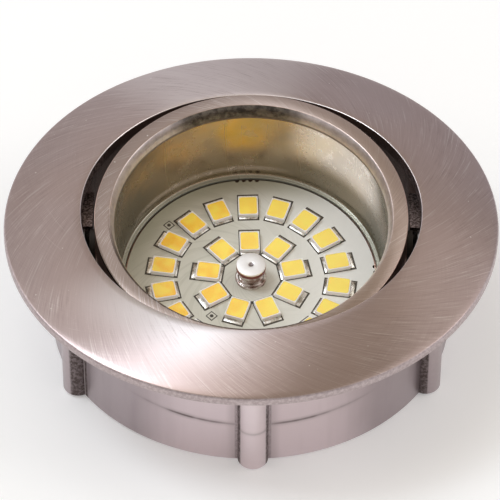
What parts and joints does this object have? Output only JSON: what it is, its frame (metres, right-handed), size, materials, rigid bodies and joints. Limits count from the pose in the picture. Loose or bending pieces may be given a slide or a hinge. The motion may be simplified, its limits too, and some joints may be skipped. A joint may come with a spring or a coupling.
{
  "type": "tilting soffit downlight",
  "caption": "Round recessed downlight with a satin nickel face plate, a ribbed skirt and a tilting lamp cup that holds a polished bowl and a light board.",
  "frame": {"origin": "centre of the ring that the skirt stands on, at the back of the light", "axes": "+Z out of the face; the cup tilts about +X"},
  "size_m": [0.068, 0.068, 0.0233],
  "materials": {
    "satin_nickel": "brushed satin nickel plating on a zinc casting",
    "cup_nickel": "fine satin nickel plating on a zinc casting",
    "polished_bowl": "polished and slightly scratched",
    "pin_steel": "bright drawn steel",
    "spring_steel": "bright spring steel",
    "friction_fibre": "dark fibre",
    "board_mask": "pale solder mask",
    "lamp_body": "white moulded package",
    "phosphor": "yellow silicone phosphor",
    "solder": "bright solder",
    "post_nickel": "turned and nickel plated",
    "fibre_red": "red-brown vulcanised fibre",
    "nut_brass": "plain brass",
    "spacer_nylon": "natural nylon",
    "amber_film": "clear amber film",
    "black_epoxy": "moulded epoxy",
    "tinned_lead": "tinned copper",
    "resistor_body": "glazed chip",
    "capacitor_body": "fired ceramic chip",
    "terminal_metal": "tinned brass",
    "rubber_black": "soft moulded rubber"
  },
  "bodies": {
    "fixed_housing": {"housing": "satin_nickel", "left_pivot_pin": "pin_steel", "right_pivot_pin": "pin_steel", "left_friction_washer": "friction_fibre", "right_friction_washer": "friction_fibre", "left_spring_washer": "spring_steel", "right_spring_washer": "spring_steel"},
    "tilting_cup": {"tilt_cup": "cup_nickel", "reflector_bowl": "polished_bowl", "led_board": "board_mask", "outer_led_bodies": "lamp_body", "inner_led_bodies": "lamp_body", "outer_led_windows": "phosphor", "inner_led_windows": "phosphor", "outer_solder_joints": "solder", "inner_solder_joints": "solder", "centre_post": "post_nickel", "post_collar": "fibre_red", "board_spacer": "spacer_nylon", "lock_washer": "spring_steel", "post_nut": "nut_brass", "insulating_film": "amber_film", "bridge_rectifier": "black_epoxy", "rectifier_leads": "tinned_lead", "string_resistors": "resistor_body", "smoothing_capacitors": "capacitor_body", "wire_terminals": "terminal_metal", "cable_grommet": "rubber_black"}
  },
  "joints": [
    {"name": "cup_tilt", "type": "hinge", "parent": "fixed_housing", "child": "tilting_cup", "pos_m": [0, 0, 0.0134], "axis": [1, 0, 0], "range_deg": [-23.4, 6.6]}
  ]
}
